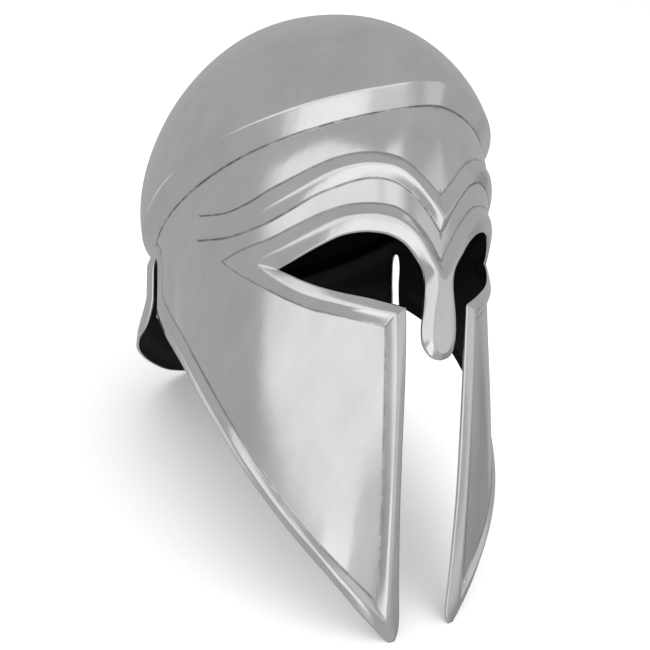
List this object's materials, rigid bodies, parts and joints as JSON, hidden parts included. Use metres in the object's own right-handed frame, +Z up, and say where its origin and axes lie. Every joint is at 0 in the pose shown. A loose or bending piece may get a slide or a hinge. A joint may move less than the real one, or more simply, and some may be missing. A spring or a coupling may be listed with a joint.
{
  "type": "corinthian helmet",
  "caption": "Polished steel Corinthian helmet with a stepped skull, raised brows, long pointed cheek pieces and a flared neck guard, black inside",
  "frame": {"origin": "centre of the bounding box's footprint, on the ground that the helmet stands on", "axes": "+X towards the wearer's left, +Y from the face to the back of the head, +Z up, as the helmet stands on its two cheek tips and its neck guard"},
  "size_m": [0.2306, 0.3414, 0.3064],
  "materials": {
    "steel": "polished bright outside with fine polishing lines, painted matt black inside"
  },
  "bodies": {
    "root": {"shell": "steel"}
  },
  "joints": []
}
